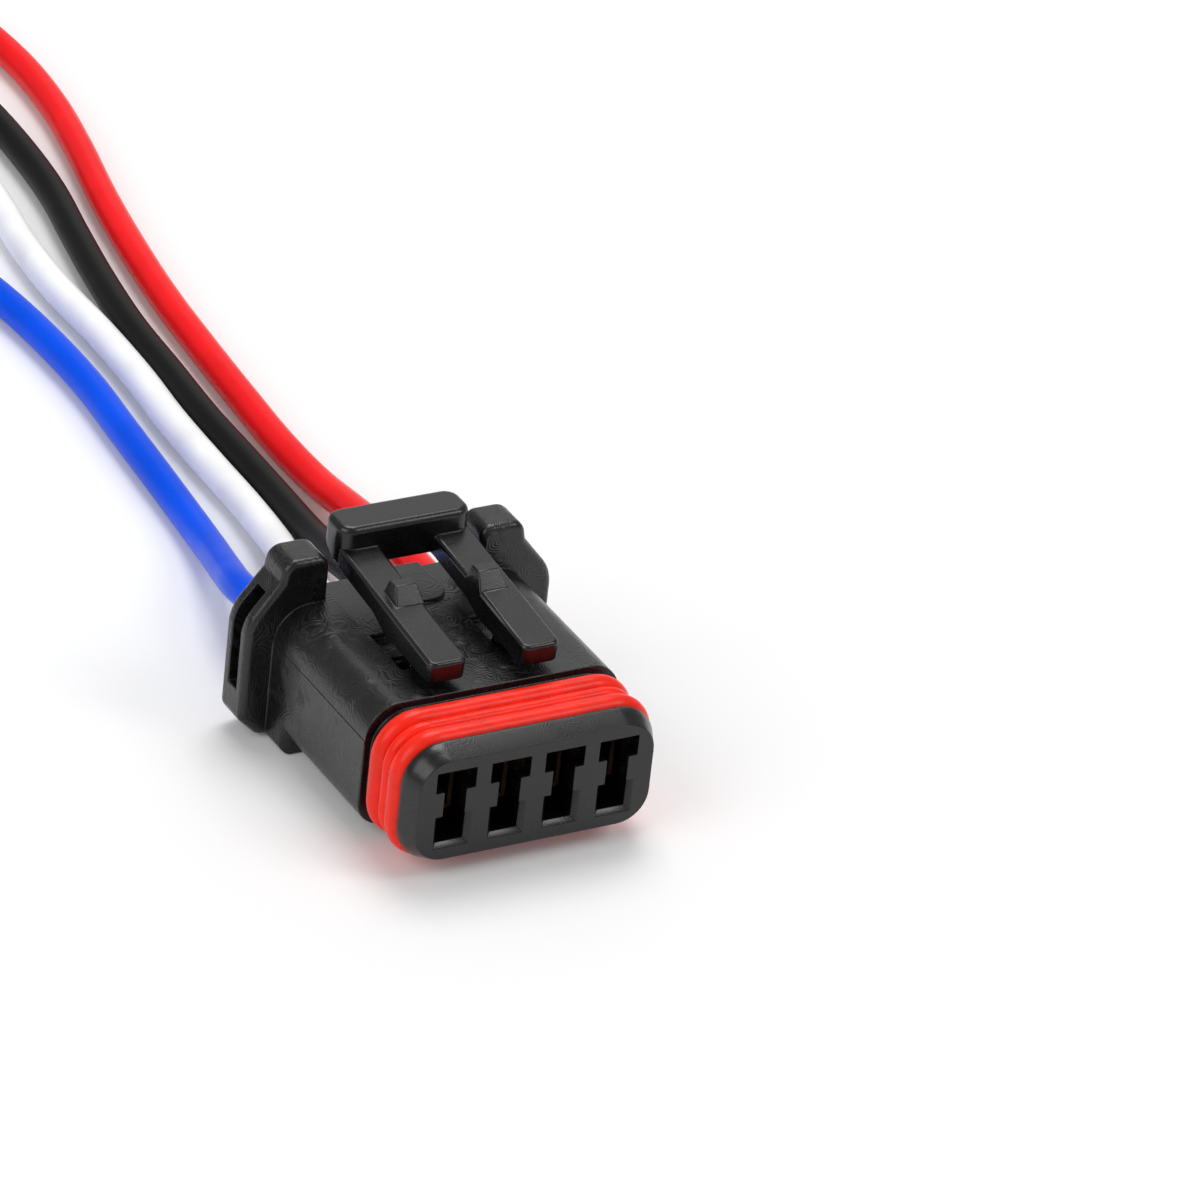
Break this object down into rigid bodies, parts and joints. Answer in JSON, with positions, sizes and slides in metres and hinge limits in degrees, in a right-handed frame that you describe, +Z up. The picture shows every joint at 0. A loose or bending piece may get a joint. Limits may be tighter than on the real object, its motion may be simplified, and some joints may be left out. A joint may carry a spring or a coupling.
{
  "type": "prewired sealed plug",
  "caption": "Rectangular sealed multi-way plug half with a red ring seal, a sprung latch lever on top, a slotted front retainer and short coloured leads with bare ends.",
  "frame": {"origin": "on the surface the plug rests on, under the middle of the plug's length and width, leads left out", "axes": "+X across the row of ways from blue to red, +Y from the mating face towards the leads, +Z up through the latch"},
  "size_m": [0.0331, 0.1325, 0.015],
  "materials": {
    "black_moulding": "fine moulded texture, satin",
    "red_silicone": "smooth satin silicone",
    "brown_silicone": "smooth satin silicone",
    "terminal_brass": "tinned sheet, satin",
    "blue_insulation": "smooth gloss",
    "white_insulation": "smooth gloss",
    "black_insulation": "smooth gloss",
    "red_insulation": "smooth gloss",
    "bare_copper": "bright twisted strands"
  },
  "bodies": {
    "plug": {"housing": "black_moulding", "ring_seal": "red_silicone", "terminal_blue": "terminal_brass", "terminal_white": "terminal_brass", "terminal_black": "terminal_brass", "terminal_red": "terminal_brass", "wire_seal_blue": "brown_silicone", "wire_seal_white": "brown_silicone", "wire_seal_black": "brown_silicone", "wire_seal_red": "brown_silicone", "lead_blue": "blue_insulation", "lead_white": "white_insulation", "lead_black": "black_insulation", "lead_red": "red_insulation", "strands_blue": "bare_copper", "strands_white": "bare_copper", "strands_black": "bare_copper", "strands_red": "bare_copper"},
    "latch": {"latch_lever": "black_moulding"},
    "retainer": {"front_retainer": "black_moulding"}
  },
  "joints": [
    {"name": "latch_press", "type": "hinge", "parent": "plug", "child": "latch", "pos_m": [0, 0.0001, 0.00905], "axis": [1, 0, 0], "range_deg": [-8, 0], "stiffness_Nm_per_rad": 0.2},
    {"name": "retainer_slide", "type": "slide", "parent": "plug", "child": "retainer", "axis": [0, -1, 0], "range_m": [0, 0.0015]}
  ]
}
